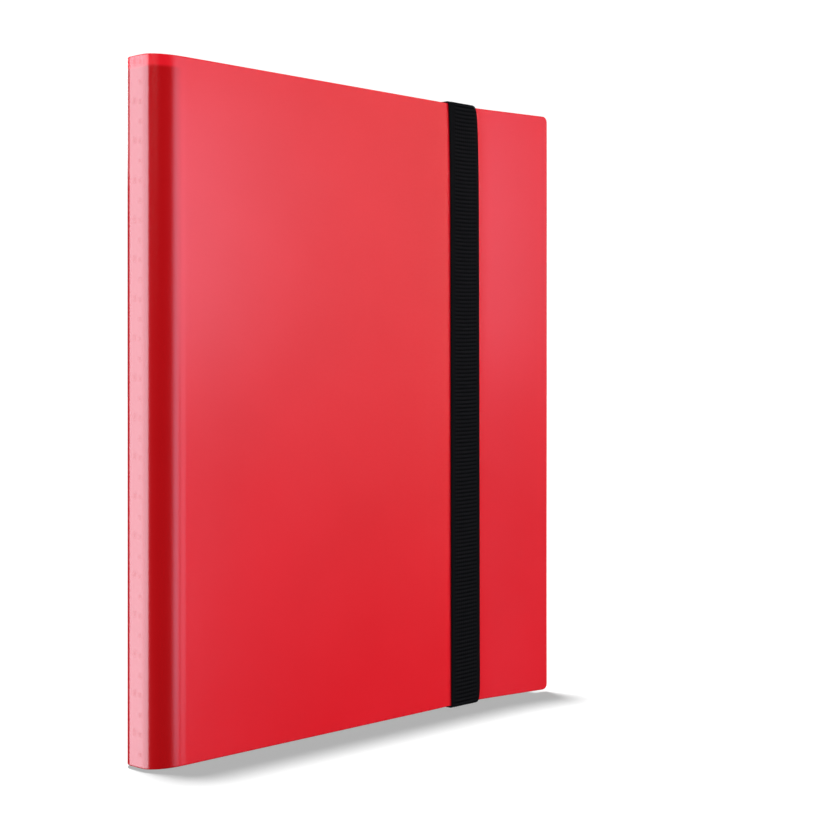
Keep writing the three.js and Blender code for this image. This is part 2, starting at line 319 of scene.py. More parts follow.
def clear_film(name, roughness, alpha, hatched=False):
    """Clear pocket film, faintly hazy. Hatched film is where it's welded."""
    finish = Finish(name)
    haze = finish.noise(25.0, 3.0)
    finish.set("Base Color", finish.ramp(haze, [(0.3, (0.09, 0.09, 0.10)), (0.7, (0.15, 0.15, 0.165))]))
    finish.set("Roughness", roughness)
    finish.set("IOR", 2.0)
    finish.set("Alpha", alpha)
    if hatched:
        hatch = finish.nodes.new("ShaderNodeTexWave")
        hatch.bands_direction = "DIAGONAL"
        hatch.inputs["Scale"].default_value = 260.0
        finish.feed(finish.at, hatch.inputs["Vector"])
        finish.bump(hatch.outputs["Fac"], 0.1 * MM, 0.6)
    else:
        finish.bump(finish.noise(22.0), 2 * MM, 0.12)
    return finish.material


RED = red_sheet()
ELASTIC = black_elastic()
BLOCK_BLACK = black_sheet("black_binding", (0.006, 0.006, 0.0065), (0.014, 0.014, 0.015), 0.5)
CORE_BLACK = black_sheet("black_page_core", (0.007, 0.007, 0.008), (0.016, 0.016, 0.018), 0.36)
FILM_CLEAR = clear_film("clear_pocket_film", roughness=0.16, alpha=0.10)
FILM_WELD = clear_film("clear_film_weld", roughness=0.35, alpha=0.20, hatched=True)

# ---------------------------------------------------------------- mesh tools


def add_mesh(name, points, faces, materials, indices=None, sharp=None):
    """A smooth piece. indices are its faces' materials, and sharp is the angle that stays an edge."""
    mesh = bpy.data.meshes.new(name)
    mesh.from_pydata([tuple(p) for p in points], [], [tuple(f) for f in faces])
    for material in materials:
        mesh.materials.append(material)
    if indices is not None:
        mesh.polygons.foreach_set("material_index", indices)
    mesh.polygons.foreach_set("use_smooth", [True] * len(mesh.polygons))
    if sharp is not None:
        mesh.set_sharp_from_angle(angle=math.radians(sharp))
    mesh.validate()
    mesh.update()
    piece = bpy.data.objects.new(name, mesh)
    bpy.context.scene.collection.objects.link(piece)
    return piece


def fix_winding(piece):
    """Turns every face of a closed piece outwards."""
    work = bmesh.new()
    work.from_mesh(piece.data)
    bmesh.ops.recalc_face_normals(work, faces=work.faces)
    work.to_mesh(piece.data)
    work.free()


def round_to_disc(u, v):
    """Moves a point of a square corner onto the quarter disc that rounds it."""
    if u <= 0 or v <= 0:
        return u, v
    shrink = max(u, v) / math.hypot(u, v)
    return u * shrink, v * shrink


def sheet(name, place, s_lines, z_lines, thickness, materials, edge=0.3 * MM, corner=0.0,
          corner_ends=(False, True), holes=(), sharp=35, pick=None):
    """A closed bent sheet. place(s, z) gives a point of its outer face and its inward normal.

    s runs across the sheet and z up it. Its rims are rounded over by edge, its chosen ends'
    corners by corner, and holes are (s0, s1, z0, z1) openings whose sides are lines of the grid.
    pick(s, z) chooses the material of a face."""
    s0, s1, z0, z1 = s_lines[0], s_lines[-1], z_lines[0], z_lines[-1]
    columns, rows = len(s_lines), len(z_lines)
    outer, inner = [], []
    for z in z_lines:
        for s in s_lines:
            border = min(s - s0, s1 - s, z - z0, z1 - z)
            over = 0.0
            if border < edge:
                over = edge - math.sqrt(max(edge * edge - (edge - border) ** 2, 0.0))
            ms, mz = s, z
            if corner:
                for at_end, sign, limit in ((corner_ends[0], -1, s0), (corner_ends[1], 1, s1)):
                    u = corner - abs(limit - s)
                    v = corner - min(z - z0, z1 - z)
                    if at_end and u > 0 and v > 0:
                        nu, nv = round_to_disc(u, v)
                        ms = limit - sign * (corner - nu)
                        mz = z0 + corner - nv if z < (z0 + z1) / 2 else z1 - corner + nv
            point, normal = place(ms, mz)
            outer.append(point + normal * over)
            inner.append(point + normal * (thickness - over))
    count = columns * rows
    faces, indices = [], []

    def open_at(i, j):
        s, z = (s_lines[i] + s_lines[i + 1]) / 2, (z_lines[j] + z_lines[j + 1]) / 2
        return any(a < s < b and c < z < d for a, b, c, d in holes)

    kept = {(i, j) for j in range(rows - 1) for i in range(columns - 1) if not open_at(i, j)}
    for i, j in sorted(kept, key=lambda cell: (cell[1], cell[0])):
        a, b = j * columns + i, j * columns + i + 1
        c, d = b + columns, a + columns
        choice = pick((s_lines[i] + s_lines[i + 1]) / 2, (z_lines[j] + z_lines[j + 1]) / 2) if pick else 0
        faces.append((a, b, c, d))
        faces.append((count + d, count + c, count + b, count + a))
        indices += [choice, choice]
        for (di, dj), (p, q) in (((0, -1), (a, b)), ((1, 0), (b, c)), ((0, 1), (c, d)), ((-1, 0), (d, a))):
            if (i + di, j + dj) not in kept:
                faces.append((q, p, count + p, count + q))
                indices.append(choice)
    return add_mesh(name, outer + inner, faces, materials, indices, sharp=sharp)


def lines(low, high, step, extra=(), edge=0.3 * MM):
    """Grid lines from low to high, closer at both ends for a rounded rim."""
    near = [0, edge * 0.12, edge * 0.4, edge]
    inner = list(np.linspace(low + edge, high - edge, max(2, round((high - low) / step)) + 1))
    every = sorted([low + n for n in near] + inner + [high - n for n in near] + list(extra))
    smallest_step = 0.001 * MM
    kept = [every[0]]
    for value in every[1:]:
        if value - kept[-1] > smallest_step:
            kept.append(value)
    return kept


def wave_noise(x, z, seed):
    """A gentle, smooth unevenness of a large sheet, from -1 to 1."""
    return (0.5 * math.sin(x * 31 + seed) * math.cos(z * 17 + 1.3 * seed)
            + 0.3 * math.sin(z * 43 + 2.1 * seed + x * 12)
            + 0.2 * math.sin(x * 67 - z * 29 + seed))


# ---------------------------------------------------------------- cover

NEAR = 0.2 * MM  # how far off the surface's direction is looked up, on either side
CALM = 25 * MM  # past a crease, the panel's unevenness grows over this length
UNEVEN = 0.10 * MM
CORNER_LINES = [v * MM for v in (0.6, 1.0, 1.4, 1.8, 2.2, 2.6, 3.0)]  # grid lines across a corner


def quarter_turn(centre_y, start, depth, steps, backwards=False):
    """A spine corner's quarter turn in X and Y from an angle, a depth in from its outer face."""
    centre_x = SPINE_X + ROUND_X
    way = -1 if backwards else 1
    angles = [start + way * step / steps * math.pi / 2 for step in range(steps + 1)]
    return [(centre_x + (ROUND_X - depth) * math.cos(angle), centre_y + (ROUND_Y - depth) * math.sin(angle))
            for angle in angles]


def cover_profile():
    """The sheet's outer face in X and Y, from the back crease round the spine to the fore edge."""
    flat_steps, panel_points = 9, 160
    flat_start, flat_end = BACK_Y - ROUND_Y, FRONT_Y + ROUND_Y
    points = [(CREASE_X, BACK_Y)]
    points += quarter_turn(flat_start, math.pi / 2, 0.0, steps=32)
    points += [(SPINE_X, flat_start + (flat_end - flat_start) * step / flat_steps)
               for step in range(1, flat_steps)]
    points += quarter_turn(flat_end, math.pi, 0.0, steps=32)
    points += [(x, FRONT_Y) for x in np.linspace(CREASE_X, FORE_X, panel_points)]
    return np.array(points)


profile = cover_profile()
profile_s = np.concatenate([[0], np.cumsum(np.hypot(*np.diff(profile, axis=0).T))])
separate = np.concatenate([[True], np.diff(profile_s) > 1e-7])
profile, profile_s = profile[separate], profile_s[separate]
CREASE_S = float(profile_s[np.argmin(np.hypot(profile[:, 0] - CREASE_X, profile[:, 1] - FRONT_Y))])
SHEET_END = float(profile_s[-1])


def profile_at(s):
    """X and Y of the cover's outer face at a length s along it."""
    return float(np.interp(s, profile_s, profile[:, 0])), float(np.interp(s, profile_s, profile[:, 1]))


def crease_sink(s):
    """How far the sheet sinks in over the front crease, gently on the spine side."""
    depth = 0.12 * MM
    before, before_ease = 14 * MM, 10 * MM
    past, past_ease = 2.6 * MM, 3.4 * MM
    return depth * eased((s - CREASE_S + before) / before_ease) * eased((CREASE_S + past - s) / past_ease)


def front_place(s, z):
    x, y = profile_at(s)
    x_ahead, y_ahead = profile_at(min(s + NEAR, SHEET_END))
    x_behind, y_behind = profile_at(max(s - NEAR, 0))
    length = math.hypot(x_ahead - x_behind, y_ahead - y_behind)
    normal = Vector(((y_behind - y_ahead) / length, (x_ahead - x_behind) / length, 0))
    if s > CREASE_S:
        settle = min(1, (s - CREASE_S) / CALM)
        y += flare(x, -1) + strap_dip(x) + settle * UNEVEN * wave_noise(x, z, 1.7)
        normal = Vector((0, 1, 0))
    return Vector((x, y, z)) + normal * crease_sink(s), normal


def cover_z_lines(extra=()):
    """Grid lines up a cover sheet."""
    return lines(BOTTOM, TOP, 5 * MM,
                 [BOTTOM + v for v in CORNER_LINES] + [TOP - v for v in CORNER_LINES] + list(extra))


def cover_s_lines():
    """Grid lines along the front sheet, close together over the crease."""
    crease_start, crease_end = CREASE_S - 2 * MM, CREASE_S + 3 * MM
    every = list(np.linspace(0, crease_start, 70))
    every += list(np.linspace(crease_start, crease_end, 31))
    every += list(np.linspace(crease_end, SHEET_END, 110))
    every += lines(0, SHEET_END, 1.0) + [SHEET_END - v for v in CORNER_LINES]
    return sorted(set(round(v, 9) for v in every))


front_sheet = sheet("front_cover_sheet", front_place, cover_s_lines(), cover_z_lines(), SHEET, [RED],
                    corner=CORNER)
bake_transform(front_sheet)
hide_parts("spine", "front_cover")
front_sheet.visible_diffuse = False


def back_place(s, z):
    settle = min(1, (s - CREASE_X) / CALM)
    y = BACK_Y + flare(s, 1) + settle * UNEVEN * wave_noise(s, z, 4.1)
    return Vector((s, y, z)), Vector((0, -1, 0))


SLOT_HALF, SLOT_TALL, SLOT_IN = 13.5 * MM, 2.4 * MM, 20 * MM
slots = [(STRAP_X - SLOT_HALF, STRAP_X + SLOT_HALF, z - SLOT_TALL / 2, z + SLOT_TALL / 2)
         for z in (BOTTOM + SLOT_IN, TOP - SLOT_IN)]
back_s = lines(CREASE_X + 0.08 * MM, FORE_X, 3 * MM,
               [STRAP_X - SLOT_HALF, STRAP_X + SLOT_HALF] + [FORE_X - v for v in CORNER_LINES])
back_z = cover_z_lines([side for slot in slots for side in slot[2:]])
back_sheet = sheet("back_cover_sheet", back_place, back_s, back_z, SHEET, [RED], edge=0.25 * MM,
                   corner=CORNER, holes=slots)
# The face was laid out facing -Y, so its winding turns over for the back.
back_sheet.data.flip_normals()
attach(back_sheet, "back_cover")
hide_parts("back_cover")


WEB_HALF, WEB_SHEET, WEB_EDGE, WEB_SHORT = 3 * MM, 0.6 * MM, 0.1 * MM, 0.35 * MM


def web_place(s, z):
    """The thin web that joins the spine to the back cover, just under the crease."""
    return Vector((s, BACK_Y - 0.18 * MM, z)), Vector((0, -1, 0))


web = sheet("back_crease_web", web_place, list(np.linspace(CREASE_X - WEB_HALF, CREASE_X + WEB_HALF, 31)),
            lines(BOTTOM + WEB_SHORT, TOP - WEB_SHORT, 60 * MM, edge=WEB_EDGE),
            WEB_SHEET, [RED], edge=WEB_EDGE)
web.data.flip_normals()
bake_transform(web)

# ---------------------------------------------------------------- elastic strap


def strap_points(corners):
    """Y and Z along a band's middle, with each corner (y, z, bend radius) rounded."""
    bend_steps = 8
    line = []
    for index, (y, z, bend) in enumerate(corners):
        here = np.array((y, z))
        if index in (0, len(corners) - 1) or bend == 0:
            line.append(here)
            continue
        before = np.array(corners[index - 1][:2]) - here
        after = np.array(corners[index + 1][:2]) - here
        before, after = before / np.linalg.norm(before), after / np.linalg.norm(after)
        centre = here + (before + after) * bend
        for step in range(bend_steps + 1):
            angle = step / bend_steps * math.pi / 2
            line.append(centre - after * bend * math.cos(angle) - before * bend * math.sin(angle))
    return np.array(line)


def band_x(w, z):
    """Where a place across the band lies: it leans a little, and its far edge draws in at the folds."""
    lean = 0.4 * MM * (MIDDLE - z) / (TOP - MIDDLE) - 1.6 * MM * math.exp(-max(TOP - z, 0) / (20 * MM))
    from_fold = max(min(TOP + FOLD_RISE - z, z - BOTTOM + FOLD_RISE), 0)
    drawn = 1.7 * MM * math.exp(-from_fold / (2.2 * MM)) * max(w / BAND_HALF, 0)
    return BAND_X + lean + w - drawn


def band_relief(w, run, rib_start, rib_slope):
    """How far the woven face stands off the band's middle, at w across it and run along it.

    The ribs follow Y plus Z of the surface, as in the material: rib_start is its value at the
    band's middle, and rib_slope is what it gains on the way out."""
    inside = BAND_HALF - abs(w)
    half_thick = STRAP_THICK / 2
    if inside < BAND_RIM:
        half_thick *= 0.35 + 0.65 * math.sqrt(1 - (1 - inside / BAND_RIM) ** 2)
    rib = abs(math.cos(math.pi * (rib_start + rib_slope * half_thick) / RIB))
    cord = 0.5 + 0.5 * math.cos(2 * math.pi * w / CORD)
    relief = 0.05 * MM * rib + 0.03 * MM
    if inside >= SELVAGE:
        relief = (0.20 * rib - 0.08 + 0.07 * cord) * MM
    wobble = 0.006 * MM * math.sin(run / (3.1 * MM) + w / (2.3 * MM))
    return half_thick + (relief - 0.09 * MM) * min(1, inside / BAND_RIM) + wobble


def band(name, corners, front_run=False):
    """A ribbed woven band along the corners."""
    line = strap_points(corners)
    along = np.concatenate([[0], np.cumsum(np.hypot(*np.diff(line, axis=0).T))])
    rows = int(along[-1] / (RIB / 6))
    at = np.linspace(0, along[-1], rows + 1)
    y, z = np.interp(at, along, line[:, 0]), np.interp(at, along, line[:, 1])
    ty, tz = np.gradient(y, at), np.gradient(z, at)
    length = np.hypot(ty, tz)
    ny, nz = -tz / length, ty / length
    rim_steps = [0, 0.06 * MM, 0.2 * MM]
    across = np.array(sorted(set(
        list(np.round(np.linspace(-BAND_HALF + 0.5 * MM, BAND_HALF - 0.5 * MM, 46), 9))
        + [-BAND_HALF + v for v in rim_steps] + [BAND_HALF - v for v in rim_steps])))
    points = []
    for side in (1, -1):
        for row, run in enumerate(at):
            for w in across:
                x = band_x(w, z[row])
                shift = 0.0
                if front_run:
                    share = min(1, max(0, y[row] / FRONT_Y))
                    shift = share * (strap_dip(x) + flare(x, -1))
                rib_start, rib_slope = y[row] + z[row] + shift, side * (ny[row] + nz[row])
                off = side * band_relief(w, run, rib_start, rib_slope)
                points.append((x, y[row] + ny[row] * off + shift, z[row] + nz[row] * off))
    return add_mesh(name, points, band_faces(len(across), len(at)), [ELASTIC], sharp=70)


def band_faces(wide, tall):
    """The two faces of a band and the rim round them, as grids of wide by tall points."""
    count = wide * tall
    faces = []
    for j in range(tall - 1):
        for i in range(wide - 1):
            a = j * wide + i
            faces.append((a, a + 1, a + 1 + wide, a + wide))
            faces.append((count + a + wide, count + a + 1 + wide, count + a + 1, count + a))
    rim = [((j * wide + i, (j + 1) * wide + i), flip)
           for j in range(tall - 1) for i, flip in ((0, False), (wide - 1, True))]
    rim += [((j * wide + i, j * wide + i + 1), flip)
            for j, flip in ((0, True), (tall - 1, False)) for i in range(wide - 1)]
    for (a, b), flip in rim:
        quad = (a, b, count + b, count + a)
        faces.append(tuple(reversed(quad)) if flip else quad)
    return faces


SKIN = 0.08 * MM + STRAP_THICK / 2  # a panel's face to the middle of the band on it
SLOT_Z = TOP - SLOT_IN
TAIL = 24 * MM
FOLD, SLOT_FOLD = 1.2 * MM, 0.9 * MM
FRONT_RUN_Y, BACK_RUN_Y = FRONT_Y - SKIN, BACK_Y + SKIN + 0.1 * MM
THROUGH_Y = BACK_Y - SHEET / 2
INSIDE_Y = BACK_Y - SHEET - 0.25 * MM - STRAP_THICK / 2
upper = [
    (FRONT_RUN_Y, TOP + FOLD_RISE, FOLD),
    (BACK_RUN_Y, TOP + FOLD_RISE, FOLD),
    (BACK_RUN_Y, SLOT_Z, SLOT_FOLD),
    (THROUGH_Y, SLOT_Z, 0),
]
mirrored = [(y, 2 * MIDDLE - z, bend) for y, z, bend in reversed(upper)]
loop = band("elastic_strap_loop", mirrored + upper, front_run=True)
fix_winding(loop)
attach(loop, "back_cover")
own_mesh(loop)
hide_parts("elastic_strap")

PATCH_SHEET, PATCH_CORNER = 0.5 * MM, 2 * MM
for word, slot_z, tail_z in (("upper", SLOT_Z, SLOT_Z - TAIL),
                             ("lower", 2 * MIDDLE - SLOT_Z, 2 * MIDDLE - SLOT_Z + TAIL)):
    tail = band(f"elastic_strap_{word}_tail", [
        (THROUGH_Y, slot_z, 0),
        (INSIDE_Y, slot_z, SLOT_FOLD * 0.6),
        (INSIDE_Y, tail_z, 0),
    ])
    fix_winding(tail)
    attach(tail, "back_cover")

    low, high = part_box(f"{word}_strap_patch")

    def patch_place(s, z, low=low, high=high):
        """The patch's face, pressed down along its welded rim."""
        rim = min(s - low[0], high[0] - s, z - low[2], high[2] - z)
        return Vector((s, low[1] + 0.12 * MM * math.exp(-rim / (1.2 * MM)), z)), Vector((0, 1, 0))

    patch = sheet(f"{word}_strap_patch_sheet", patch_place,
                  lines(low[0], high[0], 1 * MM, [low[0] + PATCH_CORNER, high[0] - PATCH_CORNER]),
                  lines(low[2], high[2], 1 * MM, [low[2] + PATCH_CORNER, high[2] - PATCH_CORNER]),
                  PATCH_SHEET, [BLOCK_BLACK], edge=0.2 * MM, corner=PATCH_CORNER, corner_ends=(True, True))
    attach(patch, "back_cover")
    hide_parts(f"{word}_strap_patch")

# ---------------------------------------------------------------- binding block

BLOCK_FACE = SPINE_X + 12.5 * MM
BLOCK_GAP = 1.5 * MM  # the spine's outer face to the block
NOTCH_DEEP, NOTCH_LIP = 1.3 * MM, 0.15 * MM  # the notch that a page's stub sits in
NOTCH_HALF, NOTCH_MOUTH = 0.17 * MM, 0.34 * MM
page_y = {name: hinges[f"{name}_hinge"]["pos_m"][1] for name in PAGES}
page_x = {name: hinges[f"{name}_hinge"]["pos_m"][0] for name in PAGES}


def block_outline():
    """The block in X and Y: the spine's inside round the back, and a face notched for each page."""
    first_y, last_y = page_y[PAGES[0]] - 0.4 * MM, page_y[PAGES[-1]] + 0.4 * MM
    round_back = quarter_turn(FRONT_Y + ROUND_Y, 1.5 * math.pi, BLOCK_GAP, steps=16, backwards=True)
    round_back += quarter_turn(BACK_Y - ROUND_Y, math.pi, BLOCK_GAP, steps=16, backwards=True)
    outline = [(x, y) for x, y in round_back if first_y < y < last_y and x < BLOCK_FACE]
    outline.append((BLOCK_FACE, last_y))
    for name in reversed(PAGES):
        y = page_y[name]
        outline += [(BLOCK_FACE + NOTCH_LIP, y + NOTCH_MOUTH), (BLOCK_FACE + NOTCH_DEEP, y + NOTCH_HALF),
                    (BLOCK_FACE + NOTCH_DEEP, y - NOTCH_HALF), (BLOCK_FACE + NOTCH_LIP, y - NOTCH_MOUTH)]
    outline.append((BLOCK_FACE, first_y))
    return outline


def block_heights():
    """Grid lines up the block, with one close to each end for its rounded rim."""
    rim = 0.3 * MM
    between = list(np.linspace(PAGE_LOW, PAGE_HIGH, 40)[1:-1])
    return [PAGE_LOW, PAGE_LOW + rim] + between + [PAGE_HIGH - rim, PAGE_HIGH]


def binding_block():
    outline, heights = block_outline(), block_heights()
    centre = np.mean(np.array(outline), axis=0)
    ring, last = len(outline), len(heights) - 1
    points = []
    for level, z in enumerate(heights):
        tuck = 0.985 if level in (0, last) else 1.0
        points += [(centre[0] + (x - centre[0]) * tuck, centre[1] + (y - centre[1]) * tuck, z)
                   for x, y in outline]
    faces = []
    for level in range(last):
        for i in range(ring):
            j = (i + 1) % ring
            low, high = level * ring, (level + 1) * ring
            faces.append((low + i, low + j, high + j, high + i))
    faces.append(tuple(range(ring)))
    faces.append(tuple(reversed(range(last * ring, (last + 1) * ring))))
    return add_mesh("binding_block_welded", points, faces, [BLOCK_BLACK], sharp=30)


block = binding_block()
fix_winding(block)
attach(block, "spine")
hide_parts("binding_block")

# ---------------------------------------------------------------- pages


def pocket_bounds(row):
    """The lowest and highest z of a row of pockets."""
    low = PAGE_LOW + SEAM + row * (POCKET_HEIGHT + SEAM)
    return low, low + POCKET_HEIGHT


def seam_distance(z):
    """Distance from z to the nearest seam inside its pocket, or a negative number on a seam."""
    for low, high in map(pocket_bounds, range(ROWS)):
        if low < z < high:
            return min(z - low, high - z)
    return -1.0


def film_height(s, z, right):
    """How far a film's outer face stands off the core's middle at a place of one strip."""
    swell = 1.9 * MM
    inside = min(seam_distance(z), right - OUTER_WELD - s)
    return FILM_IN + (FILM_OUT - FILM_IN) * eased(inside / swell)


def film_z_lines():
    """Grid lines up a film strip, close together where the film swells beside a seam."""
    heights = [PAGE_LOW, PAGE_LOW + 0.4 * MM]
    for low, high in map(pocket_bounds, range(ROWS)):
        swell = [0, 0.7 * MM, 1.3 * MM, 2 * MM]
        heights += [low + v for v in swell]
        heights += list(np.linspace(low + 2 * MM, high - 2 * MM, 5)[1:-1])
        heights += [high - v for v in reversed(swell)]
    return heights + [PAGE_HIGH - 0.4 * MM, PAGE_HIGH]


def page_core(name, share):
    """A page's black sheet, from the block to the fore edge, with close grid lines at the page's hinge."""
    y0, hinge_x = page_y[name], page_x[name]

    def place(s, z):
        return Vector((s, y0 + flare(s, share) - CORE / 2, z)), Vector((0, 1, 0))

    rim = 0.05 * MM
    corner_lines = [v * MM for v in (0.4, 0.9, 1.5, 2.2)]
    fold = [hinge_x + v * MM for v in np.linspace(-1.4, 1.4, 15)]
    s_lines = sorted(set(
        [BLOCK_FACE - 0.3 * MM] + fold + [hinge_x + 3 * MM]
        + list(np.linspace(hinge_x + 12 * MM, PAGE_X - 3 * MM, 22))
        + [PAGE_X - v for v in [0, rim] + corner_lines]))
    z_lines = [PAGE_LOW + v for v in [0, rim] + corner_lines + [3 * MM]]
    z_lines += list(np.linspace(PAGE_LOW + 30 * MM, PAGE_HIGH - 30 * MM, 5))
    z_lines += [PAGE_HIGH - v for v in [3 * MM] + corner_lines[::-1] + [rim, 0]]
    core = sheet(f"{name}_core", place, s_lines, z_lines, CORE, [CORE_BLACK], edge=rim, corner=CORNER)
    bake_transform(core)
    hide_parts(name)


def film_strip(name, share, side, column):
    """One column of pockets on one side of a page: a film that swells between its welds."""
    y0, left = page_y[name], COLUMNS_X + column * COLUMN_PITCH
    right = left + FILM_WIDTH

    def place(s, z):
        off = film_height(s, z, right)
        return Vector((s, y0 + flare(s, share) + side * off, z)), Vector((0, -side, 0))

    def weld(s, z):
        return 1 if seam_distance(z) <= 0 or s > right - OUTER_WELD else 0

    s_lines = [left, left + 0.4 * MM] + list(np.linspace(left, right - 5 * MM, 9)[1:])
    s_lines += [right - v * MM for v in (4.3, 3.7, 3.0, 1.6, 0.4, 0)]
    film = sheet(f"{name}_film_{side}_{column}", place, s_lines, film_z_lines(), FILM,
                 [FILM_CLEAR, FILM_WELD], edge=0.02 * MM, pick=weld)
    if side > 0:
        film.data.flip_normals()
    return film


def page_films(name, share):
    """All of a page's pocket films, as one piece."""
    films = [film_strip(name, share, side, column) for side in (-1, 1) for column in range(COLUMNS)]
    with bpy.context.temp_override(active_object=films[0], selected_editable_objects=films,
                                   selected_objects=films):
        bpy.ops.object.join()
    joined = films[0]
    joined.name = joined.data.name = f"{name}_pocket_films"
    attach(joined, name)


def page_lean(number):
    """How a page leans at its fore edge: -1 for the first one, 1 for the last."""
    return -1 + 2 * (number - 1) / (len(PAGES) - 1)


for number, name in enumerate(PAGES, start=1):
    page_core(name, page_lean(number))
    page_films(name, page_lean(number))

# ---------------------------------------------------------------- sample cards

# Each card's frame colour, a dark and a light.
PALETTES = [
    ((0.10, 0.30, 0.62), (0.02, 0.06, 0.20), (0.80, 0.88, 0.95)),
    ((0.62, 0.25, 0.05), (0.25, 0.05, 0.01), (0.98, 0.80, 0.45)),
    ((0.06, 0.42, 0.20), (0.01, 0.12, 0.06), (0.75, 0.92, 0.55)),
    ((0.42, 0.08, 0.40), (0.12, 0.01, 0.16), (0.95, 0.70, 0.90)),
    ((0.55, 0.50, 0.44), (0.16, 0.14, 0.12), (0.98, 0.96, 0.90)),
    ((0.68, 0.48, 0.10), (0.30, 0.12, 0.02), (0.40, 0.75, 0.90)),
]
# Parts of a card as shares of its width and height: (left, right, bottom, top).
INNER = (0.06, 0.94, 0.045, 0.955)
ART = (0.11, 0.89, 0.385, 0.80)
PANELS = ((0.11, 0.89, 0.075, 0.33), (0.11, 0.89, 0.85, 0.925))
CARD_SHEET = 0.2 * MM
CARD_OFF = 0.23 * MM  # core's middle to a card's middle


def card_border():
    finish = Finish("card_border")
    finish.set("Roughness", 0.35)
    finish.set("Base Color", finish.ramp(
        finish.noise(300.0), [(0.3, (0.30, 0.29, 0.27)), (0.7, (0.40, 0.39, 0.37))]))
    return finish.material


def card_frame(index, color):
    finish = Finish(f"card_frame_{index}")
    finish.set("Roughness", 0.32)
    brighter = tuple(min(1, c * 1.25) for c in color)
    finish.set("Base Color", finish.ramp(finish.noise(400.0, 3.0), [(0.35, color), (0.65, brighter)]))
    return finish.material


def card_art(index, color, dark, light):
    """An abstract swirl of the card's three colours."""
    finish = Finish(f"card_art_{index}")
    finish.set("Roughness", 0.32)
    swirl = finish.noise(55.0 + 6 * index, 5.0, distortion=1.4 + 0.2 * index)
    finish.set("Base Color", finish.ramp(swirl, [(0.25, dark), (0.45, color), (0.56, light), (0.72, dark)]))
    return finish.material


def card_panel(index, color):
    finish = Finish(f"card_panel_{index}")
    finish.set("Roughness", 0.32)
    pale = tuple(0.55 + 0.4 * c for c in color)
    paler = tuple(0.62 + 0.36 * c for c in color)
    finish.set("Base Color", finish.ramp(finish.noise(900.0), [(0.3, pale), (0.7, paler)]))
    return finish.material


BORDER = card_border()
STOCKS = [[BORDER, card_frame(index, color), card_art(index, color, dark, light), card_panel(index, color)]
          for index, (color, dark, light) in enumerate(PALETTES)]


def within(area, u, v):
    left, right, bottom, top = area
    return left < u < right and bottom < v < top


def card_part(u, v):
    """Which of a card's stocks shows at a place: border, frame, art or panel."""
    if not within(INNER, u, v):
        return 0
    if within(ART, u, v):
        return 2
    if any(within(panel, u, v) for panel in PANELS):
        return 3
    return 1


def sample_card(name, stock):
    """A card in its pocket, on the side of its page that faces the middle opening."""
    low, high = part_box(name)
    number = int(name[len("card_page"):].split("_")[0])
    body = f"page_{number:02d}"
    width, height = high[0] - low[0], high[2] - low[2]
    side = 1 if body == "page_10" else -1
    y0, share = page_y[body] + side * CARD_OFF, page_lean(number)

    def place(s, z):
        return Vector((s, y0 + flare(s, share) + side * CARD_SHEET / 2, z)), Vector((0, -side, 0))

    def part_at(s, z):
        return card_part((s - low[0]) / width, (z - low[2]) / height)

    rounding = [v * MM for v in (0.3, 0.8, 1.4, 2.1, 3.0)]
    cuts_s = [low[0] + v * width for v in (0.06, 0.11, 0.5, 0.89, 0.94)]
    cuts_z = [low[2] + v * height
              for v in (0.045, 0.075, 0.33, 0.36, 0.385, 0.80, 0.825, 0.85, 0.925, 0.955)]
    s_lines = lines(low[0], high[0], 9 * MM, cuts_s + [low[0] + v for v in rounding]
                    + [high[0] - v for v in rounding], edge=0.04 * MM)
    z_lines = lines(low[2], high[2], 11 * MM, cuts_z + [low[2] + v for v in rounding]
                    + [high[2] - v for v in rounding], edge=0.04 * MM)
    card = sheet(f"{name}_sample", place, s_lines, z_lines, CARD_SHEET, stock,
                 edge=0.04 * MM, corner=CORNER, corner_ends=(True, True), pick=part_at)
    if side > 0:
        card.data.flip_normals()
    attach(card, body)
    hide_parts(name)


card_names = sorted(name for name in frame["nodes"] if name.startswith("card_"))
for number, name in enumerate(card_names):
    sample_card(name, STOCKS[(number * 5 + number // 3) % len(STOCKS)])

# ---------------------------------------------------------------- stage, light and camera

FLOOR_HALF = 8
FLOOR_GLOW = 0.43
SKY_SEEN, SKY_LIGHT = 1.05, 0.025
AIM = Vector((0, 0, 0.16))  # the softboxes point here
SUN_TILT, SUN_WIDTH, SUN_POWER = math.radians(-5.4), math.radians(5.8), 4.0
CAMERA_PLACE = (-0.56681, -0.57514, 0.17444)
CAMERA_HEADING = math.radians(-46.706)
SENSOR, LENS, SHIFT_Y = 36, 71.939, -0.04855  # the camera stands level, and the shift frames the binder

scene = bpy.context.scene
scene.view_settings.view_transform = "Standard"

floor_mesh = bpy.data.meshes.new("floor")
floor_corners = [(x * FLOOR_HALF, y * FLOOR_HALF, 0) for x, y in ((-1, -1), (1, -1), (1, 1), (-1, 1))]
floor_mesh.from_pydata(floor_corners, [], [(0, 1, 2, 3)])
floor = bpy.data.objects.new("floor", floor_mesh)
scene.collection.objects.link(floor)
paper = Finish("floor_paper")
paper.set("Base Color", (0.6, 0.6, 0.6, 1))
paper.set("Emission Color", (1, 1, 1, 1))
paper.set("Emission Strength", FLOOR_GLOW)
paper.set("Roughness", 0.9)
paper.set("Specular IOR Level", 0.0)
floor_mesh.materials.append(paper.material)
floor.visible_glossy = False
floor.visible_diffuse = False
floor.visible_shadow = False

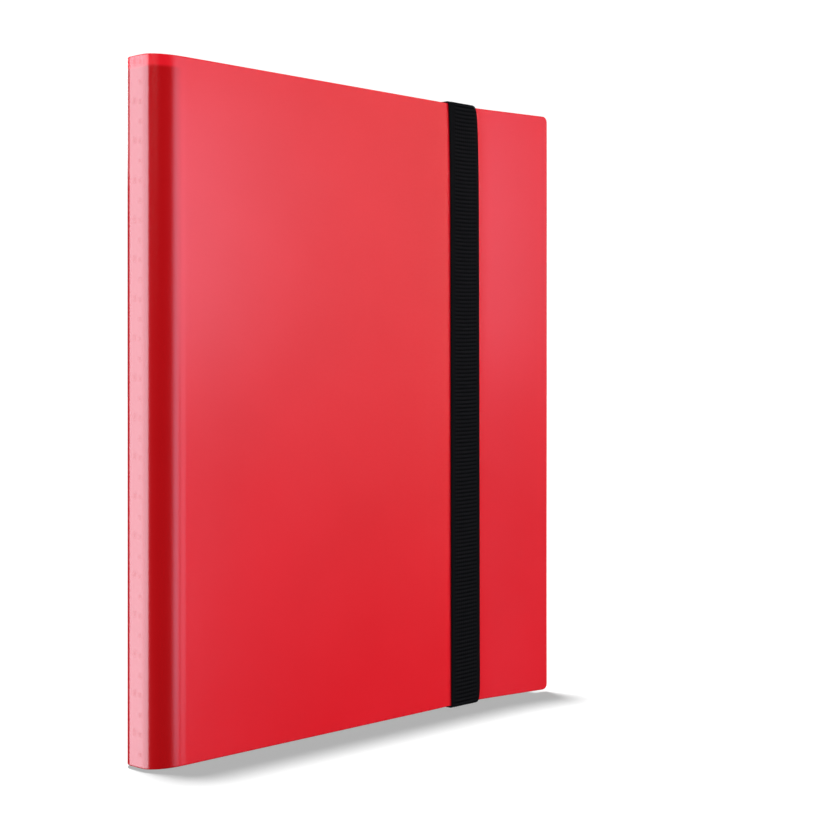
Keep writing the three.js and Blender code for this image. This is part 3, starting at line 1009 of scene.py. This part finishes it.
# The camera sees a bright backdrop, and the binder is lit by a dim one.
world = bpy.data.worlds.new("studio")
scene.world = world
world.use_nodes = True
sky, sky_links = world.node_tree.nodes, world.node_tree.links
seen = sky.new("ShaderNodeLightPath")
mix = sky.new("ShaderNodeMixShader")
bright, dim = sky.new("ShaderNodeBackground"), sky["Background"]
for backdrop, color, strength in ((bright, (1, 1, 1, 1), SKY_SEEN), (dim, (0.95, 0.97, 1, 1), SKY_LIGHT)):
    backdrop.inputs["Color"].default_value = color
    backdrop.inputs["Strength"].default_value = strength
sky_links.new(seen.outputs["Is Camera Ray"], mix.inputs[0])
sky_links.new(dim.outputs[0], mix.inputs[1])
sky_links.new(bright.outputs[0], mix.inputs[2])
sky_links.new(mix.outputs[0], sky["World Output"].inputs["Surface"])

# The softboxes light everything but the floor, and the sun lights only the floor.
off_floor = bpy.data.collections.new("all_but_the_floor")
off_floor.objects.link(floor)
off_floor.collection_objects[0].light_linking.link_state = "EXCLUDE"
only_floor = bpy.data.collections.new("floor_alone")
only_floor.objects.link(floor)


def softbox(name, azimuth, elevation, distance, width, height, radiance, color=(1, 1, 1), gloss=True):
    """A soft light seen from the binder at an azimuth from its front (-Y) round towards +X."""
    turn, lift = math.radians(azimuth), math.radians(elevation)
    away = Vector((math.sin(turn) * math.cos(lift), -math.cos(turn) * math.cos(lift), math.sin(lift)))
    data = bpy.data.lights.new(name, "AREA")
    data.shape = "RECTANGLE"
    data.size, data.size_y = width, height
    data.energy = radiance * math.pi * width * height
    data.color = color
    lamp = bpy.data.objects.new(name, data)
    lamp.location = AIM + away * distance
    lamp.rotation_euler = away.to_track_quat("Z", "Y").to_euler()
    lamp.visible_glossy = gloss
    lamp.visible_camera = False
    lamp.light_linking.receiver_collection = off_floor
    scene.collection.objects.link(lamp)


# Three boxes that light without a reflection, one from the rear, and three that draw highlights.
softbox("key_box", 56, 12, 2.2, width=1.2, height=1.2, radiance=7.0, gloss=False)
softbox("fill_box", 20, 48, 2.2, width=1.2, height=1.2, radiance=6.0, gloss=False)
softbox("side_box", -45, 25, 2.2, width=1.2, height=1.2, radiance=5.2, gloss=False)
softbox("rear_box", 160, 25, 2.2, width=1.2, height=1.2, radiance=2.8)
softbox("front_box", 31, 10.5, 0.87, width=0.13, height=0.28, radiance=1.95, color=(0.70, 0.74, 1.0))
softbox("edge_box", 20, -1, 0.9, width=0.23, height=0.75, radiance=2.0, color=(0.66, 0.76, 1.0))
softbox("spine_box", -114, -1, 1.5, width=2.2, height=1.35, radiance=4.8, color=(0.80, 0.88, 1.0))

sun_data = bpy.data.lights.new("overhead", "SUN")
sun_data.energy = SUN_POWER
sun_data.angle = SUN_WIDTH
sun = bpy.data.objects.new("overhead", sun_data)
sun.rotation_euler = (SUN_TILT, 0, 0)
sun.light_linking.receiver_collection = only_floor
scene.collection.objects.link(sun)

camera_data = bpy.data.cameras.new("camera")
camera = bpy.data.objects.new("camera", camera_data)
camera.location = CAMERA_PLACE
camera.rotation_euler = (math.radians(90), 0, CAMERA_HEADING)
camera_data.sensor_width = SENSOR
camera_data.lens = LENS
camera_data.shift_y = SHIFT_Y
camera_data.clip_start = 0.01
scene.collection.objects.link(camera)
scene.camera = camera
